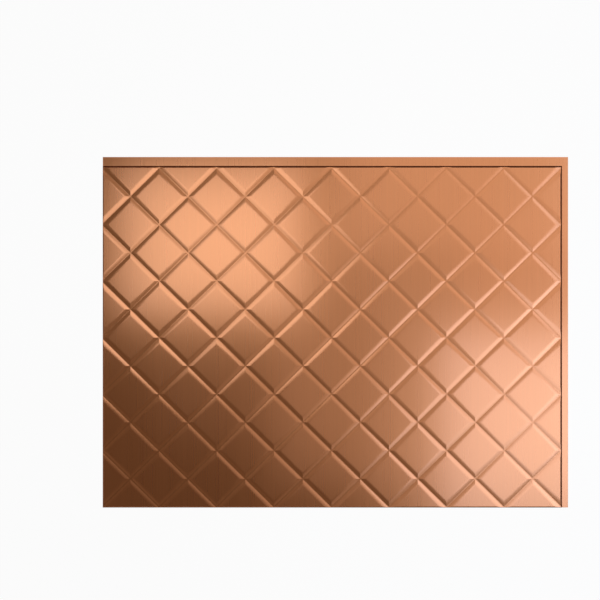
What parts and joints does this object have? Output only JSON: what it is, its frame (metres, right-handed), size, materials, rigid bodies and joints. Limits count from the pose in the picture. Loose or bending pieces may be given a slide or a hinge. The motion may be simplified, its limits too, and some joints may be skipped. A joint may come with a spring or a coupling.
{
  "type": "backsplash panel",
  "caption": "Rectangular formed vinyl backsplash panel with diamond quilting, flat laps along its top and right sides and turned-down lips along the others.",
  "frame": {"origin": "middle of the panel, in the plane of the wall that it goes on", "axes": "+X along the long side towards the side lap, +Y up the panel towards the top lap, +Z out of the quilted face"},
  "size_m": [0.616, 0.464, 0.0036],
  "materials": {
    "copper_film": "metallised copper film on rigid vinyl, lightly brushed up the panel"
  },
  "bodies": {
    "root": {"quilted_panel": "copper_film"}
  },
  "joints": []
}
